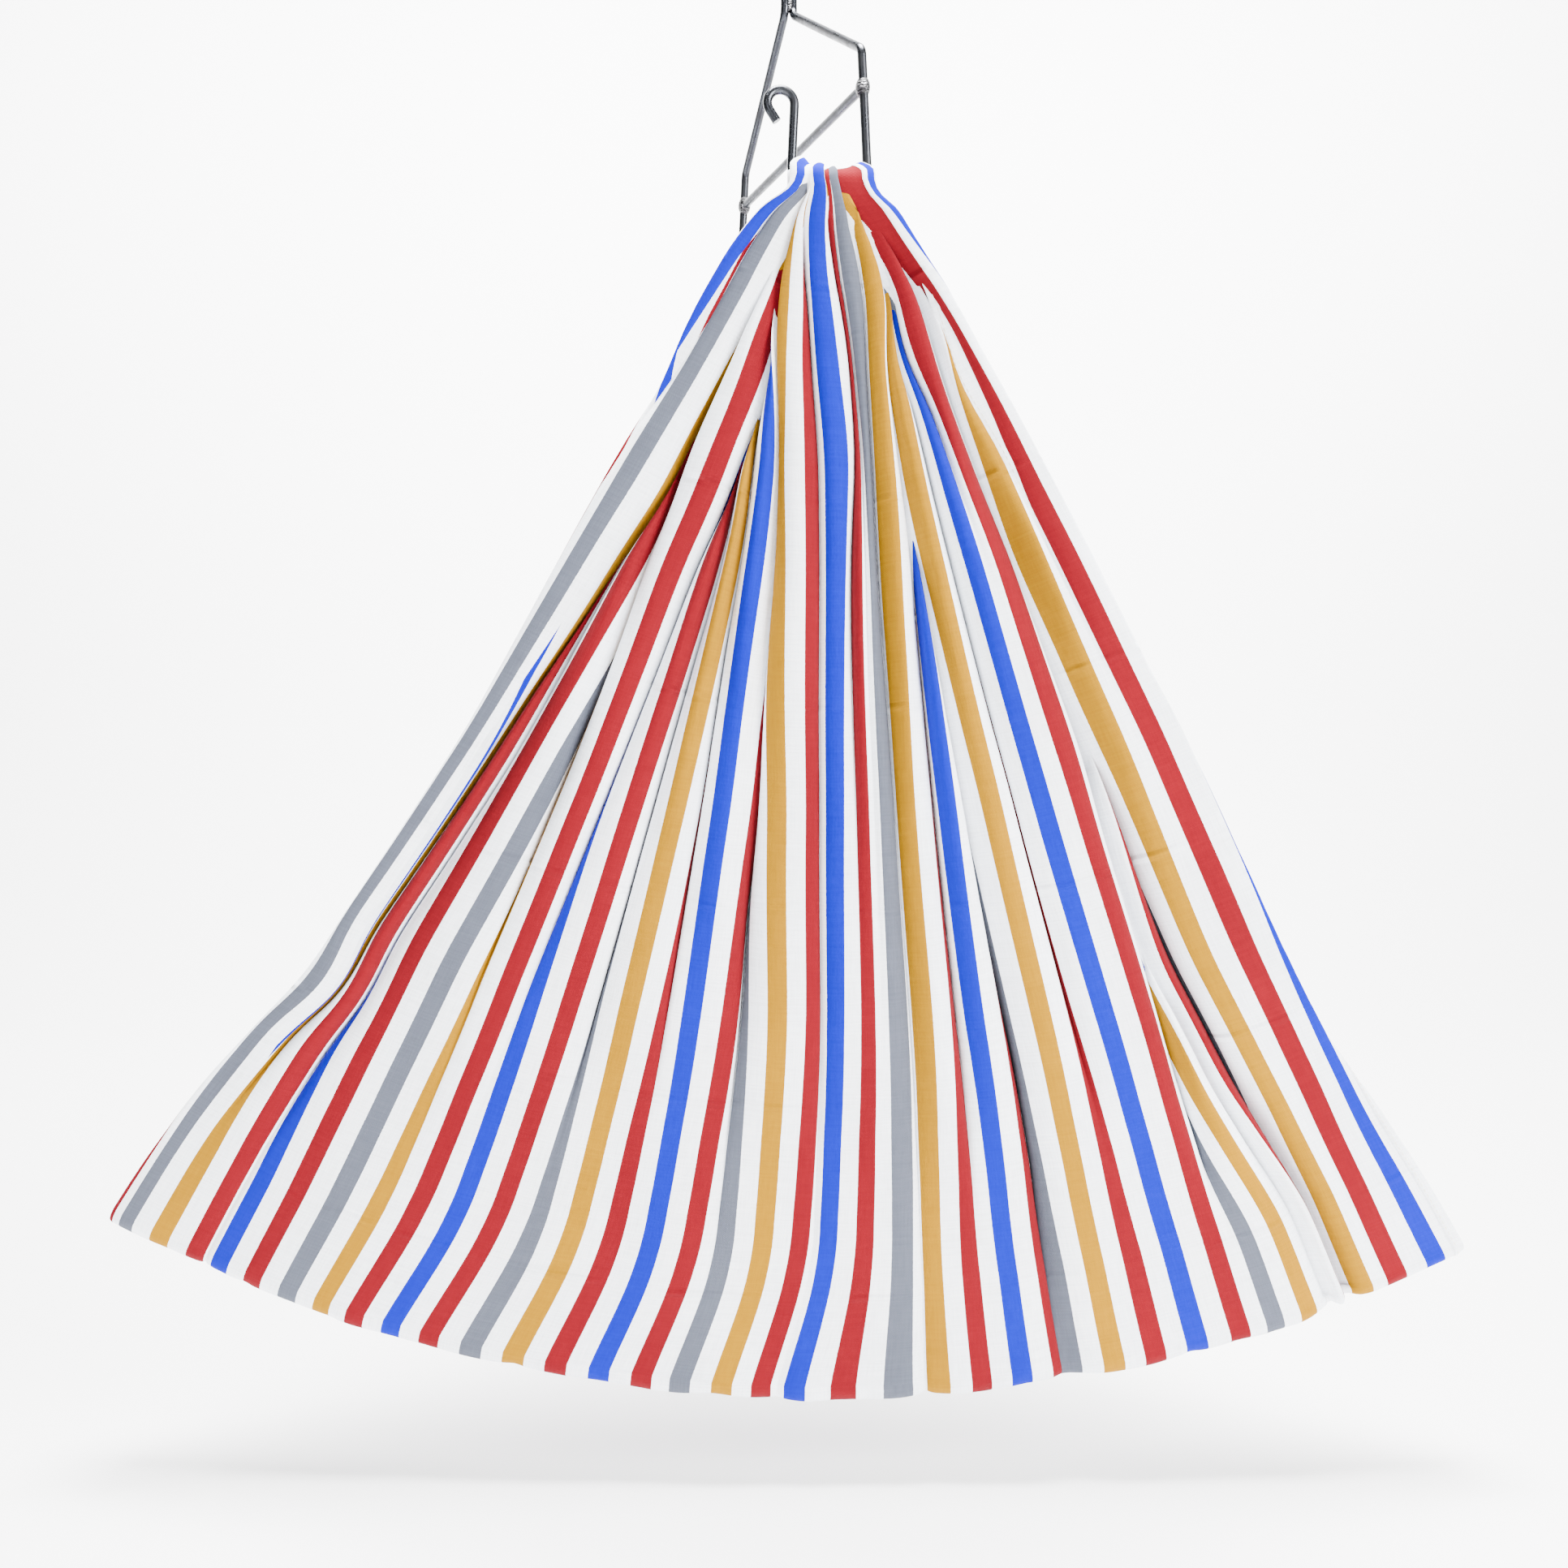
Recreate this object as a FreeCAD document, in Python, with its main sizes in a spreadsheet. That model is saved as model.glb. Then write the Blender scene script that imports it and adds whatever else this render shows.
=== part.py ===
import FreeCAD, Part
import Sketcher
import math
import os
from FreeCAD import Placement, Rotation, Vector

# Sling hammock on a welded steel hanger.
#
# Two round bars are bent into hooks, laid side by side at the neck and welded
# under a closed ring.  A straight brace joins their shanks.  One long loop of
# striped cotton lies over both hooks: a short roof crosses from hook to hook,
# and a front and a rear panel fan out and hang down to a common bottom fold.
#
# The origin is the centre of the hanging ring.  +X runs along the sling from
# the left open end to the right one, +Y goes from the front hook to the rear
# one, and +Z is up.  Millimetres and degrees throughout; depths are measured
# downwards from the ring's centre.

doc = FreeCAD.newDocument("sling_hammock")

# ---------------------------------------------------------------- sizes
sizes = doc.addObject("Spreadsheet::Sheet", "Sizes")
SIZE_VALUES = {
    # steel
    "rod_dia": 8.0,
    "ring_radius": 16.0,        # to the middle of the ring's bar
    "rod_top_depth": 20.2,      # the hook rods butt under the ring
    "neck_spacing": 8.2,        # between the two rods side by side
    "neck_turn": 21.0,          # of the line through both neck rods, from +X
    "neck_depth": 46.0,         # where the arms leave the neck
    "arm_depth": 145.0,         # where an arm turns into its shank
    "neck_bend_radius": 14.0,
    "shoulder_radius": 10.0,
    # hooks
    "front_hook_x": 34.75,
    "rear_hook_x": -17.25,
    "hook_y": 143.7,            # each hook's distance from the ring's plane
    "hook_turn": 10.3,          # of each hook's bar, from +X
    "bar_depth": 263.0,
    "leg_spacing": 68.0,        # between the two legs at the bar
    "leg_lean": 2.7,            # both legs lean together going up
    "corner_radius": 12.0,
    "curl_depth": 198.0,
    "curl_radius": 11.75,
    "curl_turn": 216.7,
    "tip_length": 11.0,
    # brace and welds
    "brace_depth": 178.0,
    "brace_inset": 1.5,         # the brace stops this far short of each shank's axis
    "brace_bead_width": 6.2,
    "brace_bead_height": 9.5,
    "neck_bead_radius": 2.0,
    "neck_bead_offset": 3.2,
    "neck_bead_bottom": 43.0,
    "neck_bead_length": 17.0,
    "ring_bead_length": 9.6,
    "ring_bead_width": 6.4,
    "ring_bead_height": 6.0,
    # gathered cloth over the hooks
    "gather_radius": 16.0,
    "gather_length": 59.0,
    "rod_clearance": 0.3,
    "roof_width": 56.0,
    "roof_thick": 11.0,
    "roof_depth": 258.5,        # to the underside of the roof
    # hanging panels: a fan about one centre, seen from the front
    "fan_centre_x": 34.0,
    "fan_centre_rise": 81.0,    # above the ring's centre
    "fan_radius": 1452.0,       # to the lowest line of the bottom fold
    "fan_left": 28.2,           # from straight down to the left corner
    "fan_right": 25.1,
    "fan_spare": 3.0,           # each cone is turned this much wider, then trimmed
    "panel_top_depth": 298.0,
    "panel_top_half": 30.0,
    "panel_top_radius": 350.0,  # where each cone starts, above the panel's top edge
    "panel_top_y": 155.0,       # how far its outer face stands from the ring's plane there
    "panel_thick": 5.0,
    "cone_overrun": 10.0,       # along Y, past the top of the bottom fold
    "fold_half": 18.0,          # half the outside width of the bottom fold
    "hem_top": 5.0,             # hem width, level, at the gathered top
    "hem_bottom": 15.0,         # and at the bottom corner
    "trim_reach": 1.3,          # trimming blocks run this many times past a corner
    "trim_half": 220.0,         # half their depth along Y
    # seam that closes the loop, on the rear panel's outer face
    "seam_radius": 1290.0,
    "seam_width": 14.0,
    "seam_thick": 2.0,
}
for row, (alias, value) in enumerate(SIZE_VALUES.items(), start=1):
    sizes.set("A%d" % row, alias)
    sizes.set("B%d" % row, str(value))
    sizes.setAlias("B%d" % row, alias)
doc.recompute()


def size(alias):
    return float(sizes.get(alias))


def bind(thing, **formulas):
    """Bind properties of thing to formulas over the sheet; a double underscore stands for a dot."""
    for name, formula in formulas.items():
        thing.setExpression(name.replace("__", "."), formula)


# ---------------------------------------------------------------- bent rods
def rounded_path(points, radii):
    """Straight runs through points with a tangent arc of the given radius at each inner point."""
    edges = []
    start = points[0]
    for before, corner, after, radius in zip(points, points[1:], points[2:], radii):
        back = (before - corner).normalize()
        onward = (after - corner).normalize()
        half_angle = back.getAngle(onward) / 2
        reach = radius / math.tan(half_angle)
        bisector = (back + onward).normalize()
        centre = corner + bisector * (radius / math.sin(half_angle))
        arc_start = corner + back * reach
        arc_end = corner + onward * reach
        edges.append(Part.LineSegment(start, arc_start).toShape())
        edges.append(Part.Arc(arc_start, centre - bisector * radius, arc_end).toShape())
        start = arc_end
    edges.append(Part.LineSegment(start, points[-1]).toShape())
    return edges


def hook_frame(side):
    """The bar's middle and direction; side is +1 for the front hook and -1 for the rear one."""
    across = Vector(size("front_hook_x" if side > 0 else "rear_hook_x"), -side * size("hook_y"), 0)
    turn = math.radians(size("hook_turn"))
    along = Vector(math.cos(turn), math.sin(turn), 0) * side
    return across, along


def hook_point(side, along_bar, depth):
    across, along = hook_frame(side)
    return across + along * along_bar + Vector(0, 0, -depth)


def leg_offset(depth):
    """How far a leg's axis is from the hook's middle at this depth."""
    lean = math.tan(math.radians(size("leg_lean")))
    return size("leg_spacing") / 2 - (size("bar_depth") - depth) * lean


def neck_point(side, depth):
    turn = math.radians(size("neck_turn"))
    offset = side * size("neck_spacing") / 2
    return Vector(math.cos(turn) * offset, math.sin(turn) * offset, -depth)


def hook_route(side):
    """The rod's line: neck, arm, shank, bar, free leg, curl and cut tip."""
    lean = math.radians(size("leg_lean"))
    radius = size("curl_radius")
    leg_top_depth = size("curl_depth") + radius * math.sin(lean)
    leg_top = -leg_offset(leg_top_depth)
    points = [
        neck_point(side, size("rod_top_depth")),
        neck_point(side, size("neck_depth")),
        hook_point(side, leg_offset(size("arm_depth")), size("arm_depth")),
        hook_point(side, leg_offset(size("bar_depth")), size("bar_depth")),
        hook_point(side, -leg_offset(size("bar_depth")), size("bar_depth")),
        hook_point(side, leg_top, leg_top_depth),
    ]
    corner = size("corner_radius")
    edges = rounded_path(points, [size("neck_bend_radius"), size("shoulder_radius"), corner, corner])

    curl_middle = leg_top - radius * math.cos(lean)

    def on_curl(angle, reach=0.0):
        along = curl_middle + radius * math.cos(angle) - reach * math.sin(angle)
        rise = radius * math.sin(angle) + reach * math.cos(angle)
        return hook_point(side, along, size("curl_depth") - rise)

    first = -lean
    last = first + math.radians(size("curl_turn"))
    edges.append(Part.Arc(on_curl(first), on_curl((first + last) / 2), on_curl(last)).toShape())
    edges.append(Part.LineSegment(on_curl(last), on_curl(last, size("tip_length"))).toShape())
    return Part.Wire(edges)


def swept_rod(name, route, start, radius_formula):
    """A round bar along a route that starts straight down at the point start."""
    line = doc.addObject("Part::Feature", name + "_route")
    line.Shape = route
    section = doc.addObject("Part::Circle", name + "_section")
    section.Placement = Placement(start, Rotation())
    bind(section, Radius=radius_formula)
    rod = doc.addObject("Part::Sweep", name)
    rod.Sections = [section]
    rod.Spine = (line, ["Edge%d" % (i + 1) for i in range(len(route.Edges))])
    rod.Solid = True
    rod.Frenet = False
    rod.Transition = "Right corner"
    return rod


nodes = {}
routes = {}
rod_channels = {}
for side, name in ((1, "front_hook_rod"), (-1, "rear_hook_rod")):
    route = hook_route(side)
    top = neck_point(side, size("rod_top_depth"))
    routes[name] = route
    nodes[name] = swept_rod(name, route, top, "Sizes.rod_dia / 2")
    rod_channels[side] = swept_rod(name + "_channel", route, top, "Sizes.rod_dia / 2 + Sizes.rod_clearance")

# ---------------------------------------------------------------- hanging ring
# A closed ring of the same bar, upright, open to front and rear.
ring = doc.addObject("Part::Torus", "hanging_eye")
bind(ring, Radius1="Sizes.ring_radius", Radius2="Sizes.rod_dia / 2")
ring.Placement = Placement(Vector(), Rotation(Vector(1, 0, 0), 90))
nodes["hanging_eye"] = ring


def cut(name, base, tools):
    """base minus all the tools."""
    tool = tools[0]
    if len(tools) > 1:
        tool = doc.addObject("Part::MultiFuse", name + "_tools")
        tool.Shapes = tools
    result = doc.addObject("Part::Cut", name)
    result.Base = base
    result.Tool = tool
    return result


# ---------------------------------------------------------------- brace
# A straight bar from shank to shank, its ends coped to the shanks they butt on.
brace_front = hook_point(1, leg_offset(size("brace_depth")), size("brace_depth"))
brace_rear = hook_point(-1, leg_offset(size("brace_depth")), size("brace_depth"))
brace_direction = (brace_rear - brace_front).normalize()
brace_blank = doc.addObject("Part::Cylinder", "brace_blank")
bind(brace_blank, Radius="Sizes.rod_dia / 2")
brace_blank.Height = (brace_rear - brace_front).Length - 2 * size("brace_inset")
brace_blank.Placement = Placement(
    brace_front + brace_direction * size("brace_inset"),
    Rotation(Vector(0, 0, 1), brace_direction),
)
both_rods = [nodes["front_hook_rod"], nodes["rear_hook_rod"]]
nodes["brace_rod"] = cut("brace_rod", brace_blank, both_rods)


# ---------------------------------------------------------------- weld beads
def bead(name, middle, turn, length_formula, width_formula, height_formula):
    """A rounded bead; length is along its own X, width along Y, height along Z."""
    blank = doc.addObject("Part::Ellipsoid", name)
    bind(blank, Radius2=length_formula, Radius3=width_formula, Radius1=height_formula)
    blank.Angle1 = -90
    blank.Angle2 = 90
    blank.Placement = Placement(middle, Rotation(Vector(0, 0, 1), turn))
    return blank


brace_turn = math.degrees(math.atan2(brace_direction.y, brace_direction.x))
for side, end, name in ((1, brace_front, "front"), (-1, brace_rear, "rear")):
    # the bead sits a little towards the brace and grips the shank all round
    middle = end + brace_direction * (side * size("brace_inset"))
    blank = bead(
        "brace_weld_%s_blank" % name, middle, brace_turn,
        "Sizes.brace_bead_width + Sizes.brace_inset", "Sizes.brace_bead_width", "Sizes.brace_bead_height",
    )
    shank = nodes["front_hook_rod" if side > 0 else "rear_hook_rod"]
    nodes["brace_weld_" + name] = cut("brace_weld_" + name, blank, [shank, nodes["brace_rod"]])

ring_blank = bead(
    "eye_weld_blank", Vector(0, 0, -size("rod_top_depth")), size("neck_turn"),
    "Sizes.ring_bead_length", "Sizes.ring_bead_width", "Sizes.ring_bead_height",
)
nodes["eye_weld"] = cut("eye_weld", ring_blank, both_rods + [ring])

# two straight beads fill the grooves between the neck rods, front and back
neck_blanks = []
for side in (1, -1):
    turn = math.radians(size("neck_turn") + 90)
    offset = side * size("neck_bead_offset")
    blank = doc.addObject("Part::Cylinder", "neck_bead_blank")
    bind(blank, Radius="Sizes.neck_bead_radius", Height="Sizes.neck_bead_length")
    foot = Vector(math.cos(turn) * offset, math.sin(turn) * offset, -size("neck_bead_bottom"))
    blank.Placement = Placement(foot, Rotation())
    neck_blanks.append(blank)
neck_pair = doc.addObject("Part::MultiFuse", "neck_bead_pair")
neck_pair.Shapes = neck_blanks
nodes["neck_weld"] = cut("neck_weld", neck_pair, both_rods)


# ---------------------------------------------------------------- gathered cloth
# The loop's cloth is bunched into a thick sleeve round each hook's bar, and
# crosses from one sleeve to the other as a flat roof.
for side, name in ((1, "front"), (-1, "rear")):
    sleeve = doc.addObject("Part::Cylinder", name + "_gather_blank")
    bind(sleeve, Radius="Sizes.gather_radius", Height="Sizes.gather_length")
    along = hook_frame(side)[1]
    end = hook_point(side, -size("gather_length") / 2, size("bar_depth"))
    sleeve.Placement = Placement(end, Rotation(Vector(0, 0, 1), along))
    node = "sling_%s_gather" % name
    nodes[node] = cut(node, sleeve, [rod_channels[side]])


def rectangle_body(name, half_length, half_width, height):
    """A PartDesign block, centred on its own Z axis, standing on its XY plane."""
    body = doc.addObject("PartDesign::Body", name)
    sketch = body.newObject("Sketcher::SketchObject", name + "_sketch")
    corners = [
        ("-" + half_length, "-" + half_width),
        (half_length, "-" + half_width),
        (half_length, half_width),
        ("-" + half_length, half_width),
    ]
    pinned_polygon(body, sketch, "XY_Plane", corners)
    pad = body.newObject("PartDesign::Pad", name + "_pad")
    pad.Profile = sketch
    pad.setExpression("Length", height)
    return body


def pinned_polygon(body, sketch, plane, corners):
    """Draw a closed polygon on one of the body's own planes and pin each corner by two formulas."""
    for feature in body.Origin.OriginFeatures:
        if feature.Role == plane:
            sketch.AttachmentSupport = (feature, [""])
    sketch.MapMode = "FlatFace"
    places = [Vector(value_of(across), value_of(up), 0) for across, up in corners]
    count = len(places)
    for i in range(count):
        sketch.addGeometry(Part.LineSegment(places[i], places[(i + 1) % count]), False)
    for i in range(count):
        sketch.addConstraint(Sketcher.Constraint("Coincident", i, 2, (i + 1) % count, 1))
    for i, (across, up) in enumerate(corners):
        for kind, formula in (("DistanceX", across), ("DistanceY", up)):
            pin = sketch.addConstraint(Sketcher.Constraint(kind, -1, 1, i, 1, value_of(formula)))
            sketch.setExpression("Constraints[%d]" % pin, formula)


def value_of(formula):
    return float(sizes.evalExpression(formula))


roof = rectangle_body(
    "sling_roof", "(Sizes.roof_width / 2)",
    "(sqrt((Sizes.front_hook_x - Sizes.rear_hook_x)^2 + 4 * Sizes.hook_y^2) / 2"
    " - Sizes.gather_radius - Sizes.rod_clearance)",
    "Sizes.roof_thick",
)
roof_middle = (hook_frame(1)[0] + hook_frame(-1)[0]) / 2 - Vector(0, 0, size("roof_depth"))
roof.Placement = Placement(roof_middle, Rotation(Vector(0, 0, 1), size("hook_turn")))
nodes["sling_roof"] = roof

# ---------------------------------------------------------------- hanging panels
# Each panel is a thin cone about the fan's centre, so its lower edge is a
# circular arc and it leans in evenly from its hook to the bottom fold.
FAN_CENTRE = Vector(size("fan_centre_x"), 0, size("fan_centre_rise"))


def about_fan_centre(solid, side, y_formula):
    """Turn a primitive so that its axis runs outwards along Y and its sector hangs down."""
    start = 270 - size("fan_left") - size("fan_spare")
    if side > 0:
        # axis towards the viewer at the front, sector counted from the left corner
        turn = Rotation(Vector(1, 0, 0), 90) * Rotation(Vector(0, 0, 1), start)
    else:
        start = 90 - size("fan_right") - size("fan_spare")
        turn = Rotation(Vector(1, 0, 0), -90) * Rotation(Vector(0, 0, 1), start)
    solid.Placement = Placement(FAN_CENTRE, turn)
    bind(solid, Placement__Base__y=y_formula)
    bind(solid, Angle="Sizes.fan_left + Sizes.fan_right + 2 * Sizes.fan_spare")


def fan_cylinder(name, radius_formula):
    """A disc about the fan's centre, through the whole depth of the sling."""
    disc = doc.addObject("Part::Cylinder", name)
    bind(disc, Radius=radius_formula, Height="2 * Sizes.trim_half")
    disc.Placement = Placement(
        FAN_CENTRE + Vector(0, size("trim_half"), 0), Rotation(Vector(1, 0, 0), 90)
    )
    return disc


def common(name, first, second):
    result = doc.addObject("Part::MultiCommon", name)
    result.Shapes = [first, second]
    return result


def cone_shell(name, side, first, last):
    """The layer of a panel's cone between two distances outside its inner face.

    The cones run a little past the bottom fold's level and are cut off there."""
    rise = "(Sizes.panel_top_y - Sizes.fold_half)"
    reach = "(Sizes.fan_radius - Sizes.fold_half - Sizes.panel_top_radius)"
    solids = []
    for offset in (last, first):
        solid = doc.addObject("Part::Cone", name + "_cone")
        bind(
            solid,
            Radius1="Sizes.panel_top_radius + %s * (1 + Sizes.cone_overrun / %s)" % (reach, rise),
            Radius2="Sizes.panel_top_radius",
            Height="%s + Sizes.cone_overrun" % rise,
        )
        sign = "-" if side > 0 else ""
        inner_face = "Sizes.fold_half - Sizes.panel_thick - Sizes.cone_overrun"
        about_fan_centre(solid, side, "%s(%s + %s)" % (sign, inner_face, offset))
        solids.append(solid)
    layer = cut(name + "_layer", solids[0], [solids[1]])
    return common(name, layer, fan_cylinder(name + "_disc", "Sizes.fan_radius - Sizes.fold_half"))


def corner_formulas(hand):
    """The bottom corner on the left (-1) or right (+1), in X and Z."""
    angle = "Sizes.fan_left" if hand < 0 else "Sizes.fan_right"
    across = "(Sizes.fan_centre_x %s Sizes.fan_radius * sin(%s * 1 deg))" % ("-" if hand < 0 else "+", angle)
    up = "(Sizes.fan_centre_rise - Sizes.fan_radius * cos(%s * 1 deg))" % angle
    return across, up


def edge_line(hook_x, hand, inset):
    """Top and bottom points of a fan edge, moved towards the middle by its hem when inset is 1."""
    top_x = "(%s %s (Sizes.panel_top_half - %d * Sizes.hem_top))" % (hook_x, "-" if hand < 0 else "+", inset)
    top_z = "(-Sizes.panel_top_depth)"
    corner_x, corner_z = corner_formulas(hand)
    edge_x = "(%s %s Sizes.panel_top_half)" % (hook_x, "-" if hand < 0 else "+")
    shift = "%s %d * Sizes.hem_bottom" % ("+" if hand < 0 else "-", inset)
    bottom_x = "(%s + Sizes.trim_reach * (%s - %s) %s)" % (edge_x, corner_x, edge_x, shift)
    bottom_z = "(%s + Sizes.trim_reach * (%s - %s))" % (top_z, corner_z, top_z)
    return (top_x, top_z), (bottom_x, bottom_z)


def trimming_block(name, left_line, right_line):
    """A block through the whole depth of the sling, between two fan lines."""
    body = doc.addObject("PartDesign::Body", name)
    sketch = body.newObject("Sketcher::SketchObject", name + "_sketch")
    pinned_polygon(body, sketch, "XZ_Plane", [left_line[0], left_line[1], right_line[1], right_line[0]])
    pad = body.newObject("PartDesign::Pad", name + "_pad")
    pad.Profile = sketch
    pad.Midplane = True
    pad.setExpression("Length", "2 * Sizes.trim_half")
    return body


def split_by_hems(name, solid, hook_x):
    """Cut a layer of the sling into its left hem, middle and right hem."""
    outer = {hand: edge_line(hook_x, hand, 0) for hand in (-1, 1)}
    inner = {hand: edge_line(hook_x, hand, 1) for hand in (-1, 1)}
    lines = {
        "left_hem": (outer[-1], inner[-1]),
        "middle": (inner[-1], inner[1]),
        "right_hem": (inner[1], outer[1]),
    }
    return {
        part: common(name + "_" + part, solid, trimming_block(name + "_" + part + "_block", *pair))
        for part, pair in lines.items()
    }


# The bottom fold is the lower half of a thin tube bent along the fan's arc.
fold_tube = []
for outside in ("Sizes.fold_half", "Sizes.fold_half - Sizes.panel_thick"):
    tube = doc.addObject("Part::Torus", "fold_tube")
    bind(
        tube,
        Radius1="Sizes.fan_radius - Sizes.fold_half",
        Radius2=outside,
        Angle3="Sizes.fan_left + Sizes.fan_right + 2 * Sizes.fan_spare",
    )
    turn = Rotation(Vector(1, 0, 0), 90) * Rotation(Vector(0, 0, 1), 270 - size("fan_left") - size("fan_spare"))
    tube.Placement = Placement(FAN_CENTRE, turn)
    fold_tube.append(tube)
inside = fan_cylinder("fold_inside", "Sizes.fan_radius - Sizes.fold_half")
fold = cut("fold_shell", fold_tube[0], [fold_tube[1], inside])

MIDDLE_X = "(Sizes.front_hook_x + Sizes.rear_hook_x) / 2"
layers = {
    "front": split_by_hems("front", cone_shell("front_shell", 1, "0", "Sizes.panel_thick"), "Sizes.front_hook_x"),
    "rear": split_by_hems("rear", cone_shell("rear_shell", -1, "0", "Sizes.panel_thick"), "Sizes.rear_hook_x"),
    "fold": split_by_hems("fold", fold, "(%s)" % MIDDLE_X),
}
nodes["sling_front_panel"] = layers["front"]["middle"]
nodes["sling_rear_panel"] = layers["rear"]["middle"]
nodes["sling_bottom_fold"] = layers["fold"]["middle"]
for hand in ("left", "right"):
    hem = doc.addObject("Part::MultiFuse", "sling_%s_hem" % hand)
    hem.Shapes = [layers[layer][hand + "_hem"] for layer in ("front", "fold", "rear")]
    nodes["sling_%s_hem" % hand] = hem

# ---------------------------------------------------------------- loop seam
# A flat felled seam across the rear panel, standing proud on its outer face.
seam_layer = cone_shell(
    "seam_layer", -1, "Sizes.panel_thick", "Sizes.panel_thick + Sizes.seam_thick"
)
seam_disc = fan_cylinder("seam_disc", "Sizes.seam_radius + Sizes.seam_width")
seam_hole = fan_cylinder("seam_hole", "Sizes.seam_radius")
seam_ring = cut("seam_ring", seam_disc, [seam_hole])
seam_strip = common("seam_strip", seam_layer, seam_ring)
seam_block = trimming_block(
    "seam_block", edge_line("Sizes.rear_hook_x", -1, 1), edge_line("Sizes.rear_hook_x", 1, 1)
)
nodes["loop_seam"] = common("loop_seam", seam_strip, seam_block)

# ---------------------------------------------------------------- check and write
doc.recompute()
for thing in doc.Objects:
    if "Invalid" in thing.State or "Error" in thing.State:
        raise RuntimeError("%s did not build: %s" % (thing.Label, thing.State))
for name, node in nodes.items():
    node.Label = name
    shape = node.Shape
    if shape.isNull() or not shape.isValid() or not shape.Solids:
        raise RuntimeError("%s has no valid solid" % name)
for name, route in routes.items():
    expected = math.pi * (size("rod_dia") / 2) ** 2 * route.Length
    print("%s: %.1f mm long, volume %.0f of %.0f mm3" % (name, route.Length, nodes[name].Shape.Volume, expected))

os.makedirs("parts", exist_ok=True)
for name, node in nodes.items():
    node.Shape.exportStep("parts/%s.step" % name)
    box = node.Shape.optimalBoundingBox(False)
    print("%-20s %d solid(s)  X %7.1f %7.1f  Y %7.1f %7.1f  Z %8.1f %8.1f" % (
        name, len(node.Shape.Solids), box.XMin, box.XMax, box.YMin, box.YMax, box.ZMin, box.ZMax))
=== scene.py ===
import math

import bpy
import numpy as np
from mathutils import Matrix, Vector


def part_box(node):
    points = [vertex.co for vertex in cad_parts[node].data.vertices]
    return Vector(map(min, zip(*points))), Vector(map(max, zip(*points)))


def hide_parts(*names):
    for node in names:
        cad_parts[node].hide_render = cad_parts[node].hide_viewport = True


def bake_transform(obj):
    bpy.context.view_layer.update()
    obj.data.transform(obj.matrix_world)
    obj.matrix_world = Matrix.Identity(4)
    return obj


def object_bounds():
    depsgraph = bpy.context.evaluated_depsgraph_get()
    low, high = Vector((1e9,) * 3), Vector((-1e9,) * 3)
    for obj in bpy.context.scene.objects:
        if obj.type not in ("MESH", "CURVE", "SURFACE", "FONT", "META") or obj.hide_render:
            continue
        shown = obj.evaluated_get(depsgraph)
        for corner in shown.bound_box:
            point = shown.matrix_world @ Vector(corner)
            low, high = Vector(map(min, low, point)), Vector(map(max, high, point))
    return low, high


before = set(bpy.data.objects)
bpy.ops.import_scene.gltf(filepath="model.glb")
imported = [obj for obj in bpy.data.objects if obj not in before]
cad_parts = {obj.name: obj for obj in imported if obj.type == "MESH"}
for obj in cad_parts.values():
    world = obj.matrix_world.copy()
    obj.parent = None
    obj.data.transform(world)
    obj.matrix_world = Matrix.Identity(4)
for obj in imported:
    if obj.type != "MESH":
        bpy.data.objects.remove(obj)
cad_box = [list(corner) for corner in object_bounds()]


# ---------------------------------------------------------------- camera
# A level camera in front of the sling, a little above half its height, looking straight
# at the front cloth.
CAMERA_PLACE = (-0.0047, -1.474, -0.783)
LENS = 35.33
SENSOR = 36.0

camera_data = bpy.data.cameras.new("camera")
camera_data.lens = LENS
camera_data.sensor_width = SENSOR
camera = bpy.data.objects.new("camera", camera_data)
camera.location = CAMERA_PLACE
camera.rotation_euler = (math.radians(90), 0, 0)
bpy.context.scene.collection.objects.link(camera)
bpy.context.scene.camera = camera


# ---------------------------------------------------------------- hanger rods
# Four bars of 8 mm bright steel: two bent hooks, the ring they hang from and the brace.
# Bent cold; the drawn surface keeps fine pits and a few darker rubs.
def linear(red, green, blue):
    """A colour given on the 0 to 255 scale, as the shader wants it."""
    def channel(value):
        value = value / 255
        return value / 12.92 if value <= 0.04045 else ((value + 0.055) / 1.055) ** 2.4
    return channel(red), channel(green), channel(blue), 1.0


def new_group(name, inputs, outputs):
    """An empty node group with named sockets."""
    group = bpy.data.node_groups.new(name, "ShaderNodeTree")
    for label, kind, value in inputs:
        socket = group.interface.new_socket(name=label, in_out="INPUT", socket_type=kind)
        if value is not None:
            socket.default_value = value
    for label, kind in outputs:
        group.interface.new_socket(name=label, in_out="OUTPUT", socket_type=kind)
    return group, group.nodes.new("NodeGroupInput"), group.nodes.new("NodeGroupOutput")


def math_node(tree, operation, first, second=None, third=None):
    """A Math node fed by sockets or numbers; returns its output."""
    node = tree.nodes.new("ShaderNodeMath")
    node.operation = operation
    for place, value in enumerate((first, second, third)):
        if value is None:
            continue
        if isinstance(value, (int, float)):
            node.inputs[place].default_value = value
        else:
            tree.links.new(value, node.inputs[place])
    return node.outputs[0]


def noise_node(tree, place, scale, detail=3.0, rough=0.5):
    node = tree.nodes.new("ShaderNodeTexNoise")
    node.inputs["Scale"].default_value = scale
    node.inputs["Detail"].default_value = detail
    node.inputs["Roughness"].default_value = rough
    tree.links.new(place, node.inputs["Vector"])
    return node.outputs["Fac"]


def ramp_node(tree, value, low, high, low_out=0.0, high_out=1.0):
    """A smooth step from low to high."""
    node = tree.nodes.new("ShaderNodeMapRange")
    node.interpolation_type = "SMOOTHSTEP"
    tree.links.new(value, node.inputs["Value"])
    for label, number in (("From Min", low), ("From Max", high), ("To Min", low_out), ("To Max", high_out)):
        node.inputs[label].default_value = number
    return node.outputs["Result"]


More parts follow.
